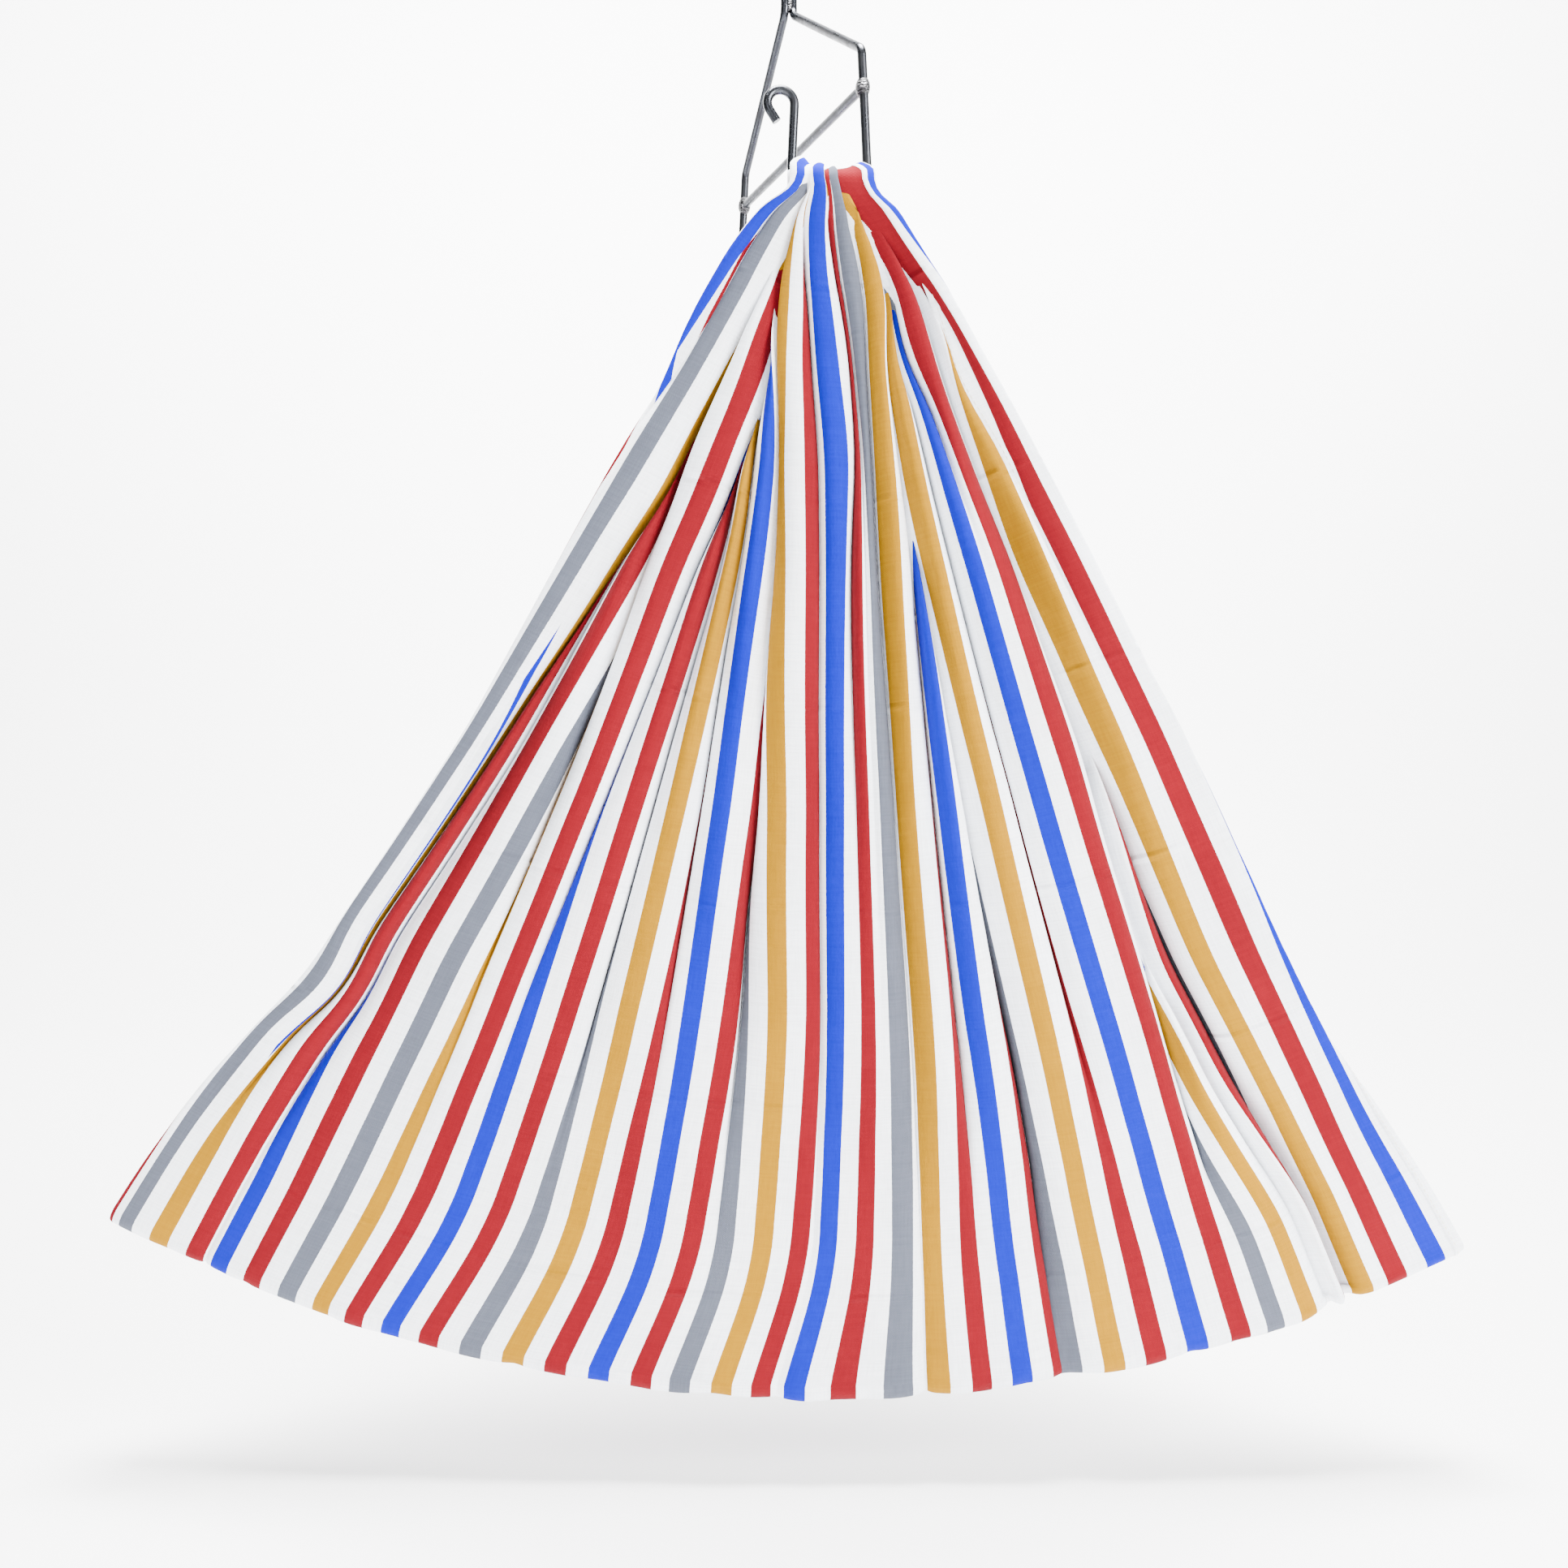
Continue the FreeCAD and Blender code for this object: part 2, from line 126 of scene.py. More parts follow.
def mix_colour(tree, share, first, second, way="MIX"):
    node = tree.nodes.new("ShaderNodeMix")
    node.data_type = "RGBA"
    node.blend_type = way
    for label, value in (("Factor", share), ("A", first), ("B", second)):
        socket = [s for s in node.inputs if s.name == label and s.enabled][0]
        if isinstance(value, (int, float, tuple)):
            socket.default_value = value
        else:
            tree.links.new(value, socket)
    return [s for s in node.outputs if s.enabled][0]


def new_material(name, roughness, metallic):
    material = bpy.data.materials.new(name)
    material.use_nodes = True
    shader = material.node_tree.nodes["Principled BSDF"]
    shader.inputs["Roughness"].default_value = roughness
    shader.inputs["Metallic"].default_value = metallic
    return material, material.node_tree, shader


def use_group(tree, group, **values):
    node = tree.nodes.new("ShaderNodeGroup")
    node.node_tree = group
    for label, value in values.items():
        socket = node.inputs[label.replace("_", " ")]
        if isinstance(value, (int, float, tuple)):
            socket.default_value = value
        else:
            tree.links.new(value, socket)
    return node


def bump_from(tree, height, distance, strength=1.0):
    node = tree.nodes.new("ShaderNodeBump")
    node.inputs["Distance"].default_value = distance
    node.inputs["Strength"].default_value = strength
    tree.links.new(height, node.inputs["Height"])
    return node.outputs["Normal"]


metal_wear, group_in, group_out = new_group(
    "metal_wear",
    [("Bright", "NodeSocketColor", linear(196, 198, 200)), ("Worn", "NodeSocketColor", linear(90, 92, 96)),
     ("Wear", "NodeSocketFloat", 0.5), ("Gloss", "NodeSocketFloat", 0.2)],
    [("Color", "NodeSocketColor"), ("Roughness", "NodeSocketFloat"), ("Height", "NodeSocketFloat")])
where = metal_wear.nodes.new("ShaderNodeTexCoord").outputs["Object"]
rubs = noise_node(metal_wear, where, 55.0, 4.0, 0.6)
pits = noise_node(metal_wear, where, 900.0, 3.0, 0.65)
worn_share = math_node(metal_wear, "MULTIPLY", ramp_node(metal_wear, rubs, 0.42, 0.68),
                       group_in.outputs["Wear"])
pit_share = math_node(metal_wear, "MULTIPLY", ramp_node(metal_wear, pits, 0.55, 0.72), 0.45)
dark_share = math_node(metal_wear, "MAXIMUM", worn_share, pit_share)
steel_colour = mix_colour(metal_wear, dark_share, group_in.outputs["Bright"], group_in.outputs["Worn"])
steel_rough = math_node(metal_wear, "MULTIPLY_ADD", dark_share, 0.3, group_in.outputs["Gloss"])
rub_height = math_node(metal_wear, "MULTIPLY", rubs, 0.4)
steel_height = math_node(metal_wear, "SUBTRACT", rub_height, pit_share)
metal_wear.links.new(steel_colour, group_out.inputs["Color"])
metal_wear.links.new(steel_rough, group_out.inputs["Roughness"])
metal_wear.links.new(steel_height, group_out.inputs["Height"])


def steel_material(name, bright, worn, wear, gloss, pit_depth):
    material, tree, shader = new_material(name, gloss, 1.0)
    look = use_group(tree, metal_wear, Bright=bright, Worn=worn, Wear=wear, Gloss=gloss)
    tree.links.new(look.outputs["Color"], shader.inputs["Base Color"])
    tree.links.new(look.outputs["Roughness"], shader.inputs["Roughness"])
    tree.links.new(bump_from(tree, look.outputs["Height"], pit_depth, 0.6), shader.inputs["Normal"])
    return material


rod_steel = steel_material("rod_steel", linear(66, 68, 73), linear(43, 41, 40), 0.45, 0.26, 0.0002)
ring_steel = steel_material("ring_steel", linear(76, 78, 83), linear(50, 49, 49), 0.40, 0.24, 0.0002)
for node_name, finish in (("front_hook_rod", rod_steel), ("rear_hook_rod", rod_steel),
                          ("brace_rod", rod_steel), ("hanging_eye", ring_steel)):
    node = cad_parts[node_name]
    node.data.materials.clear()
    node.data.materials.append(finish)


# ---------------------------------------------------------------- welds
# Beads of weld metal at the brace's ends, in the neck's two grooves and under the ring.
# Laid by hand: rippled, with a few darker rubs and pits.
weld_metal, tree, shader = new_material("weld_metal", 0.3, 1.0)
look = use_group(tree, metal_wear, Bright=linear(82, 82, 84), Worn=linear(46, 43, 40), Wear=0.5, Gloss=0.24)
place = tree.nodes.new("ShaderNodeTexCoord").outputs["Object"]
ripple = tree.nodes.new("ShaderNodeTexWave")
ripple.bands_direction = "Z"
ripple.inputs["Scale"].default_value = 130.0
ripple.inputs["Distortion"].default_value = 5.0
ripple.inputs["Detail Scale"].default_value = 2.0
tree.links.new(place, ripple.inputs["Vector"])
tree.links.new(look.outputs["Color"], shader.inputs["Base Color"])
tree.links.new(look.outputs["Roughness"], shader.inputs["Roughness"])
ripple_height = math_node(tree, "ADD", ripple.outputs["Fac"], look.outputs["Height"])
tree.links.new(bump_from(tree, ripple_height, 0.0009, 0.8), shader.inputs["Normal"])
for node_name in ("brace_weld_front", "brace_weld_rear", "eye_weld", "neck_weld"):
    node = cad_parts[node_name]
    node.data.materials.clear()
    node.data.materials.append(weld_metal)


# ---------------------------------------------------------------- cloth loop
# One cotton cloth, 1.70 m wide and 2.62 m round, woven white with coloured bands.
# It is sewn into a loop and gathered over both hooks, so it hangs in deep pleats.
CLOTH_WIDTH = 1.70
COLUMN_STEP = 0.0034
ROW_STEP = 0.0075
WRAP_ROWS = 6
ROOF_ROWS = 34
FOLD_ROWS = 8
HOOK_TURN = math.radians(10.3)
FAN_CENTRE = np.array([0.034, 0.081])      # x and z of the middle of the bottom's arc
FAN_RADIUS = 1.452
PANEL_LEAN = 0.1264                        # how fast the panels part, going up
TOP_REACH = 0.108                          # from a panel's apex down to its bar
GATHER_TUCK = 0.0105                       # how deep a pleat can lie over a bar
DEEPEST_TUCK = 0.046
TUCK_MOUTH = 0.0022                        # the gap left where cloth goes into a tuck
OVER_BAR_HALF = 0.0285                     # half the gathered width on top of a bar
BESIDE_BAR_HALF = 0.039                    # and where the panel leaves the bar
UV_METRES = 2.7                            # metres of cloth to one unit of its UV map

front_low, front_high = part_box("sling_front_gather")
rear_low, rear_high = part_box("sling_rear_gather")
front_bar = np.array((front_low + front_high) / 2)
rear_bar = np.array((rear_low + rear_high) / 2)
gather_radius = (front_high.z - front_low.z) / 2
fold_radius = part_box("sling_bottom_fold")[1].y
rim_radius = FAN_RADIUS - fold_radius
bar_line = np.array([math.cos(HOOK_TURN), math.sin(HOOK_TURN), 0.0])
bar_side = np.array([-math.sin(HOOK_TURN), math.cos(HOOK_TURN), 0.0])
panel_reach = rim_radius - FAN_CENTRE[1] + (front_bar[2] + TOP_REACH)

# How far down each pleat the cloth is measured, from the panel's apex.
LEVELS = (0.11, 0.19, 0.26, 0.36, 0.48, 0.69, 0.92, 1.06, 1.20)

# The front cloth's pleats: where it is tucked (mm from the left hem), which way the tuck
# grows (0 right, 1 left), and how much cloth it takes up at each level (mm).
FRONT_PLEATS = (
    (108, 0.5, (62, 58, 55, 20, 0, 0, 0, 0, 0)),
    (180, 0.0, (86, 76, 72, 64, 54, 45, 38, 26, 2)),
    (240, 0.0, (86, 78, 76, 72, 58, 57, 45, 32, 14)),
    (400, 1.0, (92, 85, 85, 82, 87, 45, 17, 8, 3)),
    (449, 0.0, (96, 92, 85, 64, 47, 34, 15, 4, 0)),
    (547, 0.5, (96, 92, 85, 65, 61, 40, 23, 8, 0)),
    (642, 0.8, (94, 90, 80, 60, 57, 38, 17, 4, 0)),
    (736, 0.5, (100, 95, 92, 114, 98, 68, 35, 16, 5)),
    (854, 0.9, (46, 35, 25, 22, 22, 22, 20, 15, 8)),
    (904, 0.8, (26, 22, 20, 26, 25, 14, 4, 0, 0)),
    (930, 0.5, (24, 24, 28, 24, 14, 10, 6, 2, 0)),
    (982, 0.95, (30, 24, 28, 32, 34, 28, 24, 20, 14)),
    (1040, 0.5, (78, 72, 68, 66, 52, 41, 30, 14, 3)),
    (1130, 0.5, (122, 118, 112, 105, 102, 79, 56, 44, 34)),
    (1230, 0.5, (80, 74, 66, 52, 45, 34, 21, 7, 0)),
    (1284, 0.5, (46, 38, 32, 20, 2, 0, 0, 0, 0)),
    (1328, 0.0, (104, 99, 90, 90, 90, 84, 80, 46, 2)),
    (1452, 0.5, (96, 92, 86, 87, 90, 82, 76, 74, 68)),
    (1540, 0.5, (62, 60, 60, 78, 86, 75, 50, 46, 72)),
    (1616, 0.75, (60, 54, 42, 22, 13, 3, 0, 2, 6)),
)
# Where single bands of the front cloth hang: the band's middle (mm from the left hem) and
# its angle from plumb at each level (degrees).
FRONT_GUIDES = (
    (150, (-19.8, -23.4, -25.2, -27.2, -28.7, -29.7, -31.0, -32.2, -32.9)),
    (310, (-18.4, -19.6, -20.2, -21.6, -22.6, -24.9, -26.4, -26.5, -26.5)),
    (430, (-17.6, -15.6, -15.0, -16.8, -18.7, -19.6, -20.3, -20.6, -20.8)),
    (510, (-17.3, -15.9, -15.2, -13.8, -14.6, -15.8, -16.4, -16.7, -17.0)),
    (670, (-17.0, -15.4, -13.2, -10.2, -9.7, -9.2, -9.0, -9.1, -9.2)),
    (790, (-16.6, -14.8, -12.2, -9.1, -7.1, -4.9, -3.6, -3.6, -3.6)),
    (870, (-10.9, -6.1, -3.3, -0.6, -0.3, -0.2, 0.0, -0.2, -0.4)),
    (950, (-0.8, 3.3, 4.5, 4.8, 4.5, 4.1, 3.8, 3.5, 3.3)),
    (990, (7.8, 9.4, 7.9, 6.9, 6.2, 5.4, 5.4, 5.1, 4.8)),
    (1190, (10.5, 10.2, 10.0, 10.3, 11.1, 12.1, 12.6, 12.7, 12.7)),
    (1270, (12.2, 13.2, 14.5, 15.4, 15.8, 16.0, 16.3, 16.4, 16.5)),
    (1310, (9.6, 16.6, 16.9, 17.4, 18.6, 18.9, 18.9, 18.7, 18.6)),
    (1590, (10.0, 19.0, 20.8, 21.5, 22.2, 22.9, 23.1, 23.8, 24.4)),
    (1630, (10.6, 20.4, 23.6, 24.7, 25.3, 26.0, 25.8, 25.9, 26.0)),
    (1650, (11.6, 22.0, 25.4, 27.2, 27.7, 27.7, 27.1, 27.0, 27.0)),
)
# The rear cloth falls in pleats of its own.
REAR_PLEATS = (
    (96, 0.5, (70, 60, 52, 40, 30, 20, 10, 4, 0)),
    (205, 0.5, (100, 94, 88, 80, 72, 52, 34, 16, 4)),
    (300, 0.4, (98, 90, 84, 78, 66, 50, 30, 20, 12)),
    (405, 0.6, (104, 98, 92, 86, 80, 62, 44, 22, 6)),
    (500, 0.5, (96, 90, 84, 70, 60, 44, 24, 10, 2)),
    (592, 0.5, (100, 94, 86, 80, 70, 52, 38, 26, 16)),
    (690, 0.4, (98, 92, 86, 76, 62, 40, 18, 6, 0)),
    (785, 0.6, (104, 98, 92, 88, 84, 66, 50, 34, 22)),
    (880, 0.5, (94, 88, 80, 66, 52, 34, 16, 4, 0)),
    (975, 0.5, (102, 96, 90, 84, 74, 58, 40, 22, 8)),
    (1075, 0.4, (98, 92, 86, 78, 68, 54, 40, 30, 20)),
    (1170, 0.6, (104, 98, 90, 82, 70, 48, 26, 10, 2)),
    (1265, 0.5, (98, 92, 86, 80, 74, 60, 46, 28, 12)),
    (1365, 0.5, (100, 94, 86, 76, 62, 42, 22, 8, 0)),
    (1465, 0.4, (104, 98, 92, 88, 82, 68, 50, 32, 18)),
    (1570, 0.5, (98, 90, 82, 70, 58, 40, 22, 10, 4)),
)
# Side outlines of each panel, as (distance from the apex, angle from plumb in degrees).
FRONT_LEFT = ((0.10, -23), (0.17, -30.8), (0.26, -31), (0.35, -30.2), (0.70, -30.1), (0.99, -31.5),
              (1.15, -33.3), (1.26, -33.6))
FRONT_RIGHT = ((0.10, 17), (0.16, 23.5), (0.22, 26.8), (0.45, 28.3), (0.70, 28.7), (1.02, 28.0),
               (1.12, 28.7), (1.26, 29.3))
REAR_LEFT = ((0.10, -17), (0.16, -23.5), (0.24, -26.5), (0.80, -27.6), (1.02, -28.6), (1.26, -31.2))
REAR_RIGHT = ((0.10, 23), (0.17, 29.5), (0.35, 30.5), (0.90, 30.8), (1.26, 32.0))
# Where the cloth's side edges turn under, as (distance from the apex, mm from the left hem).
FRONT_TURN_LEFT = ((0.10, 34), (0.13, 48), (0.17, 58), (0.30, 62), (0.37, 108), (0.55, 118),
                   (0.70, 128), (1.00, 130), (1.14, 126), (1.22, 106))
FRONT_TURN_RIGHT = ((0.10, 1692), (0.17, 1674), (0.26, 1657), (0.60, 1656), (0.90, 1667), (1.04, 1682),
                    (1.10, 1700), (1.22, 1700))
REAR_TURN_LEFT = ((0.10, 30), (0.40, 20), (0.90, 8), (1.10, 0), (1.22, 0))
REAR_TURN_RIGHT = ((0.10, 1660), (0.50, 1672), (1.00, 1690), (1.22, 1694))
CLOTH_MIDDLE = 850                         # pleats on either side lean towards it, mm
TURN_UNDER = 0.05                          # how far a turned edge reaches before it doubles back

apex_front = np.array([0.043, front_bar[2] + TOP_REACH])
apex_rear = np.array([-0.026, rear_bar[2] + TOP_REACH])
draw = np.random.default_rng(41)


def curve_at(points, place):
    """A smooth reading of a short list of (place, value) pairs."""
    places = np.array([p[0] for p in points])
    values = np.array([p[1] for p in points], float)
    spread = np.linspace(-0.035, 0.035, 9)
    return float(np.mean(np.interp(place + spread, places, values)))


def smoothstep(low, high, value):
    share = np.clip((value - low) / (high - low), 0, 1)
    return share * share * (3 - 2 * share)


class Wander:
    """A slow, repeatable wavering of a pleat along its length."""

    def __init__(self, longest, shortest, parts=4):
        self.turns = 2 * math.pi / draw.uniform(shortest, longest, parts)
        self.starts = draw.uniform(0, 2 * math.pi, parts)

    def at(self, place):
        return float(np.sin(self.turns * place + self.starts).mean())


def tuck_zones(pleats, level, wanders, low, high):
    """The stretch of cloth that each pleat hides at this level, pushed apart where they meet."""
    starts, ends = [], []
    for (middle, bias, takes), wander in zip(pleats, wanders):
        take = np.interp(level, LEVELS, takes) * (1 + 0.03 * wander.at(level)) / 1000
        start = middle / 1000 - bias * take
        starts.append(start)
        ends.append(start + take)
    starts, ends = np.array(starts), np.array(ends)
    for _ in range(60):
        overlap = np.maximum(ends[:-1] - starts[1:], 0) / 2
        shift = np.zeros(len(starts))
        shift[:-1] -= overlap
        shift[1:] += overlap
        starts, ends = starts + shift, ends + shift
        out_low, out_high = max(low - starts[0], 0), max(ends[-1] - high, 0)
        starts[0], ends[0] = starts[0] + out_low, ends[0] + out_low
        starts[-1], ends[-1] = starts[-1] - out_high, ends[-1] - out_high
    return starts, ends


def crest_edge(level):
    """How far back a crest of cloth has turned where it goes into the next tuck."""
    return 0.017 * smoothstep(0.10, 0.50, level) + TUCK_MOUTH


def pleated_row(level, width, deepest, pleats, wanders, puffs, turn_left, turn_right, base_depth):
    """Across-place and depth of every column at one level of a panel."""
    first = curve_at(turn_left, level) / 1000
    last = curve_at(turn_right, level) / 1000
    starts, ends = tuck_zones(pleats, level, wanders, first + 0.004, last - 0.006)
    crest_from = np.concatenate([[first], ends])
    crest_to = np.concatenate([starts, [last]])
    crest = np.maximum(crest_to - crest_from, 0)
    shown = smoothstep(0.004, 0.016, crest)
    shown[0] = shown[-1] = 1.0
    gap = np.minimum(TUCK_MOUTH, 0.06 * (ends - starts)) * min(1.0, 0.25 + level)
    across = (width - gap.sum()) / (crest * shown).sum()
    edge = np.minimum(0.40 * (ends - starts), crest_edge(level))
    edge *= smoothstep(0, 0.02, ends - starts)
    half = (ends - starts) / 2
    tuck = np.minimum(edge + np.sqrt(np.maximum(half ** 2 - (gap / 2) ** 2, 0)), deepest)
    sunk = np.concatenate([[0], np.minimum(tuck[:-1], tuck[1:]) * 0.45, [0]])

    places, acrosses, depths = [], [], []
    reach = min(TURN_UNDER, 0.22 * width)
    if first > 0.004:
        near = max(first - reach * 1.04, 0.0)
        if near > 0.001:
            places += [0.0]
            acrosses += [reach - 0.9 * min(near, reach)]
            depths += [min(0.014, deepest)]
        places += [near]
        acrosses += [0.96 * (first - near)]
        depths += [min(0.008, deepest)]
    spot = 0.0
    for number in range(len(crest)):
        wide = crest[number] * shown[number] * across
        left_edge = edge[number - 1] if number > 0 else 0.002
        right_edge = edge[number] if number < len(edge) else 0.002
        puff = puffs[number].at(level) * min(0.006, 0.10 * wide)
        lowered = sunk[number] * (1 - shown[number]) if 0 < number < len(crest) - 1 else 0.0
        for share in np.linspace(0, 1, 9):
            fall_left = max(1 - 2 * share, 0) ** 2
            fall_right = max(2 * share - 1, 0) ** 2
            places.append(crest_from[number] + crest[number] * share)
            acrosses.append(spot + wide * share)
            depths.append(lowered + left_edge * fall_left + right_edge * fall_right
                          + puff * math.sin(math.pi * share))
        spot += wide
        if number < len(tuck):
            spare = math.sqrt(max(half[number] ** 2 - (tuck[number] - edge[number]) ** 2, 0))
            if pleats[number][0] < CLOTH_MIDDLE:
                lean = min(spare, 0.92 * (width - spot))
            else:
                lean = -min(spare, 0.92 * spot)
            places.append((starts[number] + ends[number]) / 2)
            acrosses.append(spot + gap[number] / 2 + lean)
            depths.append(tuck[number])
            spot += gap[number]
    if last < CLOTH_WIDTH - 0.004:
        places.append(CLOTH_WIDTH)
        acrosses.append(width - 0.9 * (CLOTH_WIDTH - last))
        depths.append(min(0.008, deepest))
    order = np.argsort(places, kind="stable")
    places = np.array(places)[order]
    across_row = np.interp(columns, places, np.array(acrosses)[order])
    depth_row = np.interp(columns, places, np.array(depths)[order]) + base_depth(columns, level)
    return across_row, depth_row


def guided(across_row, sunk_row, level, width, left):
    """Slides the row's cloth sideways until the guide bands in view hang where they should."""
    pairs = [(0.0, 0.0)]
    in_view = crest_edge(level) + 0.0024
    for middle, line in FRONT_GUIDES:
        found = np.interp(middle / 1000, columns, across_row)
        sunk_here = np.interp(middle / 1000, columns, sunk_row)
        wanted = level * math.radians(np.interp(level, LEVELS, line) - curve_at(left, level))
        ahead = min(found - pairs[-1][0], wanted - pairs[-1][1], width - found, width - wanted)
        if sunk_here < in_view and ahead > 0.0004:
            pairs.append((found, wanted))
    pairs.append((width, width))
    slid = np.interp(across_row, [pair[0] for pair in pairs], [pair[1] for pair in pairs])
    return np.where((across_row < 0) | (across_row > width), across_row, slid)


def soften(rows, spread, axis):
    """A Gaussian average along one axis."""
    count = max(int(3 * spread), 1)
    weights = np.exp(-0.5 * (np.arange(-count, count + 1) / spread) ** 2)
    weights /= weights.sum()
    pad = [(0, 0), (0, 0)]
    pad[axis] = (count, count)
    padded = np.pad(rows, pad, mode="reflect", reflect_type="odd")
    return sum(w * np.take(padded, range(i, i + rows.shape[axis]), axis=axis)
               for i, w in enumerate(weights))


def front_base(places, level):
    """The outer flap on the right hangs behind the one beside it, past a deep groove."""
    flap = 0.006 * smoothstep(1.50, 1.56, places) * smoothstep(0.55, 0.95, level)
    groove = smoothstep(1.478, 1.492, places) * (1 - smoothstep(1.524, 1.540, places))
    return flap + 0.014 * groove * smoothstep(0.70, 0.85, level) * (1 - smoothstep(1.04, 1.14, level))


def rear_base(places, level):
    return 0.0 * places


def panel_width(level, left, right):
    return level * math.radians(curve_at(right, level) - curve_at(left, level))


def deepest_at(level):
    """Pleats are shallow over the bars and where the panels come together at the bottom."""
    half_room = fold_radius + (TOP_REACH + panel_reach - level) * PANEL_LEAN - 0.006
    near_bar = GATHER_TUCK + 0.16 * max(level - 0.12, 0)
    return min(half_room, near_bar, DEEPEST_TUCK)


columns = np.arange(0, CLOTH_WIDTH + COLUMN_STEP / 2, COLUMN_STEP)
panel_rows = int(round(panel_reach / ROW_STEP))
shares = np.arange(panel_rows + 1) / panel_rows

front_wanders = [Wander(0.9, 0.25) for _ in FRONT_PLEATS]
front_puffs = [Wander(0.6, 0.10) for _ in range(len(FRONT_PLEATS) + 1)]
rear_wanders = [Wander(0.9, 0.25) for _ in REAR_PLEATS]
rear_puffs = [Wander(0.6, 0.10) for _ in range(len(REAR_PLEATS) + 1)]


def panel_profile(left, right, pleats, wanders, puffs, turn_left, turn_right, base_depth, guide=None):
    acrosses, depths = [], []
    for share in shares:
        level = TOP_REACH + share * panel_reach
        width = panel_width(level, left, right)
        across_row, depth_row = pleated_row(level, width, deepest_at(level), pleats,
                                            wanders, puffs, turn_left, turn_right, base_depth)
        if guide:
            across_row = guide(across_row, depth_row - base_depth(columns, level), level, width, left)
        acrosses.append(across_row)
        depths.append(depth_row)
    return np.array(acrosses), np.array(depths)


front_across, front_depth = panel_profile(FRONT_LEFT, FRONT_RIGHT, FRONT_PLEATS, front_wanders, front_puffs,
                                          FRONT_TURN_LEFT, FRONT_TURN_RIGHT, front_base, guided)
rear_across, rear_depth = panel_profile(REAR_LEFT, REAR_RIGHT, REAR_PLEATS, rear_wanders, rear_puffs,
                                        REAR_TURN_LEFT, REAR_TURN_RIGHT, rear_base)
ROWS_SOFT = 3.6
COLUMNS_SOFT = 1.25
front_across, front_depth, rear_across, rear_depth = [
    soften(soften(rows, COLUMNS_SOFT, 1), ROWS_SOFT, 0)
    for rows in (front_across, front_depth, rear_across, rear_depth)]


def bottom_sweep(angles, share):
    """Near the bottom the middle of the front cloth swings a little to the left."""
    window = smoothstep(-30, -16, angles) * (1 - smoothstep(-1, 6, angles))
    return -1.9 * window * smoothstep(0.86, 1.06, share)


def bar_point(bar, outward, turn, across_share, half_width, depth, drop=0.0):
    """A row round a bar: turn is 0 on the panel's side and 90 degrees on top."""
    along = (across_share - 0.5) * 2 * half_width
    radius = gather_radius - depth
    lift = 0.006 * np.abs(2 * across_share - 1) ** 4 * math.sin(turn)
    points = bar[None, :] + along[:, None] * bar_line[None, :]
    points = points + (radius * math.cos(turn))[:, None] * outward[None, :]
    points[:, 2] += radius * math.sin(turn) + lift - drop
    return points


def half_width_at(turn):
    """The gathered cloth is squeezed in between the hook's legs as it goes over the bar."""
    spread = 1 - smoothstep(math.radians(25), math.radians(75), turn)
    return OVER_BAR_HALF + (BESIDE_BAR_HALF - OVER_BAR_HALF) * spread


def panel_points(side, apex, bar, left, right, across, depth):
    """Rows of a hanging panel, from its bar to the bottom rim."""
    rows = []
    for number, share in enumerate(shares):
        level = TOP_REACH + share * panel_reach
        width = panel_width(level, left, right)
        angles = math.radians(curve_at(left, level)) + across[number] / level
        if side < 0:
            angles = angles + np.radians(bottom_sweep(np.degrees(angles), share))
        ray = np.stack([np.sin(angles), -np.cos(angles)], 1)
        offset = apex - FAN_CENTRE
        along = ray @ offset
        reach = -along + np.sqrt(along ** 2 - offset @ offset + rim_radius ** 2)
        distance = TOP_REACH + share * (reach - TOP_REACH)
        flat = apex[None, :] + distance[:, None] * ray
        from_centre = np.hypot(flat[:, 0] - FAN_CENTRE[0], flat[:, 1] - FAN_CENTRE[1])
        y = side * (fold_radius + (rim_radius - from_centre) * PANEL_LEAN - depth[number])
        hanging = np.stack([flat[:, 0], y, flat[:, 1]], 1)
        drop = share * panel_reach
        joined = smoothstep(0.0, 0.05, drop)
        half = half_width_at(0.0) + (width / 2 - half_width_at(0.0)) * smoothstep(0.0, 0.035, drop)
        held = bar_point(bar, side * bar_side, 0.0, across[number] / width, half, depth[number], drop)
        rows.append(held * (1 - joined) + hanging * joined)
    return np.array(rows)


front_rows = panel_points(-1, apex_front, front_bar, FRONT_LEFT, FRONT_RIGHT, front_across, front_depth)
rear_rows = panel_points(1, apex_rear, rear_bar, REAR_LEFT, REAR_RIGHT, rear_across, rear_depth)

front_share = front_across[0] / panel_width(TOP_REACH, FRONT_LEFT, FRONT_RIGHT)
rear_share = rear_across[0] / panel_width(TOP_REACH, REAR_LEFT, REAR_RIGHT)
over_rows = []
for turn in np.linspace(0, math.pi / 2, WRAP_ROWS + 1)[1:]:
    over_rows.append(bar_point(front_bar, -bar_side, turn, front_share, half_width_at(turn),
                               front_depth[0]))
for share in np.linspace(0, 1, ROOF_ROWS + 1)[1:]:
    eased = float(smoothstep(0.1, 0.9, share))
    middle = front_bar * (1 - share) + rear_bar * share
    across_share = front_share * (1 - eased) + rear_share * eased
    depth = front_depth[0] * (1 - eased) + rear_depth[0] * eased
    half = half_width_at(math.pi / 2) - 0.003 * math.sin(math.pi * share)
    sag = 0.003 * math.sin(math.pi * share)
    over_rows.append(bar_point(middle, bar_side, math.pi / 2, across_share, half, depth, sag))
for turn in np.linspace(math.pi / 2, 0, WRAP_ROWS + 1)[1:-1]:
    over_rows.append(bar_point(rear_bar, bar_side, turn, rear_share, half_width_at(turn), rear_depth[0]))

